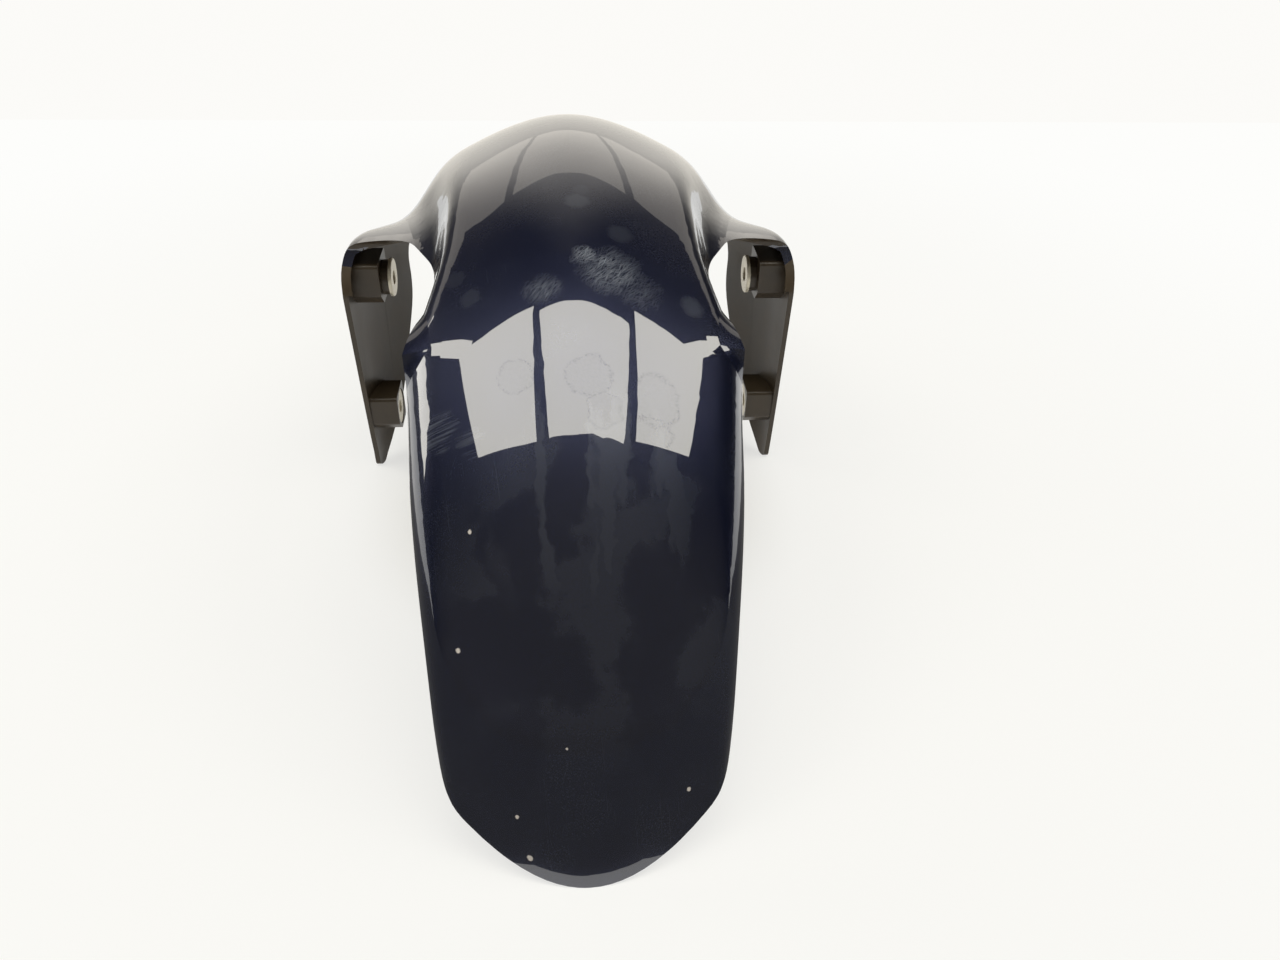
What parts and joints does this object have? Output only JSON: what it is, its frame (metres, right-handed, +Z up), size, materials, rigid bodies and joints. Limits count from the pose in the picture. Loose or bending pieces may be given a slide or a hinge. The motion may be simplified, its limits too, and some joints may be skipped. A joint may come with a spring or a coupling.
{
  "type": "motorcycle front fender",
  "caption": "Front mudguard for a road motorcycle: a curved glossy blade over the wheel with shoulders, side cheeks and bushed bolt holes for the fork legs.",
  "frame": {"origin": "on the floor, under the middle of the fender's length, in its plane of symmetry", "axes": "+Z up, +Y to the rear of the motorcycle, +X to the viewer's right from the front"},
  "size_m": [0.2692, 0.539, 0.2205],
  "materials": {
    "paint": "gloss",
    "zinc": "satin"
  },
  "bodies": {
    "root": {"fender_shell": "paint", "upper_right_collar": "zinc", "upper_left_collar": "zinc", "lower_right_collar": "zinc", "lower_left_collar": "zinc"}
  },
  "joints": []
}
